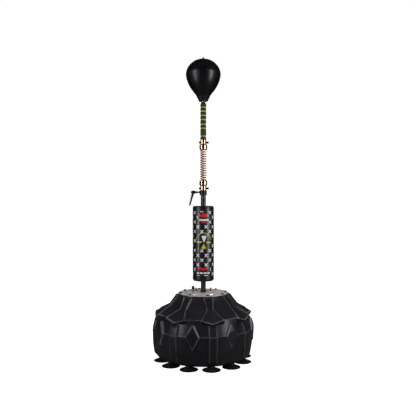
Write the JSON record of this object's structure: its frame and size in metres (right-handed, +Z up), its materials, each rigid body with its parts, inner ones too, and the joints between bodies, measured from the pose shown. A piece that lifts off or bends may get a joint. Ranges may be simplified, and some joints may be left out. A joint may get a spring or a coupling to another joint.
{
  "type": "reflex ball stand",
  "caption": "Free-standing reflex ball stand: round weighted base on suction cups, padded telescopic pole, coil spring neck and a teardrop ball.",
  "frame": {"origin": "on the floor at the pole's axis", "axes": "+Z up along the pole, -Y towards the boxer, the clamp lever towards -X"},
  "size_m": [0.4962, 0.4962, 1.4829],
  "materials": {
    "moulded_black": "semi-gloss blow-moulded polyethylene",
    "ballast": "water, at 1100 kg/m3 for 1000",
    "cup_rubber": "matte",
    "bright_steel": "polished zinc plate",
    "black_steel": "black powder coat",
    "copper": "polished copper plate over steel",
    "spring_copper": "polished copper plate over spring steel",
    "pad_print": "glossy coated cloth with a small printed lattice",
    "pad_foam": "open foam, inside the cover",
    "sleeve_grey": "satin",
    "ring_green": "satin",
    "ball_black": "glossy",
    "bladder": "plain",
    "black_plastic": "moulded",
    "grey_nylon": "plain"
  },
  "bodies": {
    "base": {"tank": "moulded_black", "ballast_fill": "ballast", "suction_cup_01": "cup_rubber", "suction_cup_02": "cup_rubber", "suction_cup_03": "cup_rubber", "suction_cup_04": "cup_rubber", "suction_cup_05": "cup_rubber", "suction_cup_06": "cup_rubber", "suction_cup_07": "cup_rubber", "suction_cup_08": "cup_rubber", "suction_cup_09": "cup_rubber", "suction_cup_10": "cup_rubber", "suction_cup_11": "cup_rubber", "suction_cup_12": "cup_rubber", "cup_studs": "bright_steel", "top_gasket": "cup_rubber", "mount_ring": "bright_steel", "ring_bolts": "black_steel", "pole_flange": "bright_steel", "flange_studs": "bright_steel", "flange_washers": "bright_steel", "flange_nuts": "bright_steel", "fill_spout": "moulded_black", "foot_collar": "black_steel", "outer_tube": "black_steel", "guide_bush": "grey_nylon", "pad_foam": "pad_foam", "pad_cover": "pad_print", "clamp_collar": "black_plastic"},
    "filler_cap": {"fill_cap": "black_plastic", "cap_seal": "cup_rubber"},
    "clamp_shoe": {"pressure_pad": "grey_nylon"},
    "clamp_lever": {"clamp_screw": "black_steel", "lever_handle": "black_plastic", "hub_screw": "black_steel"},
    "mast": {"inner_tube": "bright_steel", "tail_bush": "grey_nylon", "lower_coupling": "copper", "lower_cross_bolt": "black_steel", "lower_cross_nut": "black_steel"},
    "spring": {"coil_spring": "spring_copper"},
    "head": {"upper_coupling": "copper", "upper_cross_bolt": "black_steel", "upper_cross_nut": "black_steel", "ball_rod": "bright_steel", "sleeve_segments": "sleeve_grey", "grip_rings": "ring_green", "ball_plate": "bright_steel", "neck_collar": "cup_rubber", "ball_cover": "ball_black", "ball_bladder": "bladder", "air_valve": "black_plastic"}
  },
  "joints": [
    {"name": "height_slide", "type": "slide", "parent": "base", "child": "mast", "axis": [0, 0, 1], "range_m": [0, 0.2]},
    {"name": "spring_bend_side", "type": "hinge", "parent": "mast", "child": "spring", "pos_m": [0, 0, 0.9139], "axis": [0, 1, 0], "range_deg": [-90, 90], "stiffness_Nm_per_rad": 12, "deforming": ["coil_spring"]},
    {"name": "spring_bend_fore", "type": "hinge", "parent": "spring", "child": "head", "pos_m": [0, 0, 0.9889], "axis": [1, 0, 0], "range_deg": [-90, 90], "stiffness_Nm_per_rad": 12, "deforming": ["coil_spring"]},
    {"name": "clamp_pad_slide", "type": "slide", "parent": "base", "child": "clamp_shoe", "axis": [-1, 0, 0], "range_m": [0, 0.001]},
    {"name": "clamp_lever_turn", "type": "hinge", "parent": "clamp_shoe", "child": "clamp_lever", "pos_m": [-0.05, 0, 0.81781], "axis": [-1, 0, 0], "range_deg": [0, 360]},
    {"name": "filler_cap_lift", "type": "slide", "parent": "base", "child": "filler_cap", "axis": [0, 0, 1], "range_m": [0, 0.04]}
  ],
  "couplings": [
    {"joint": "clamp_pad_slide", "follows": "clamp_lever_turn", "m_per_rad": 0.00015915}
  ]
}
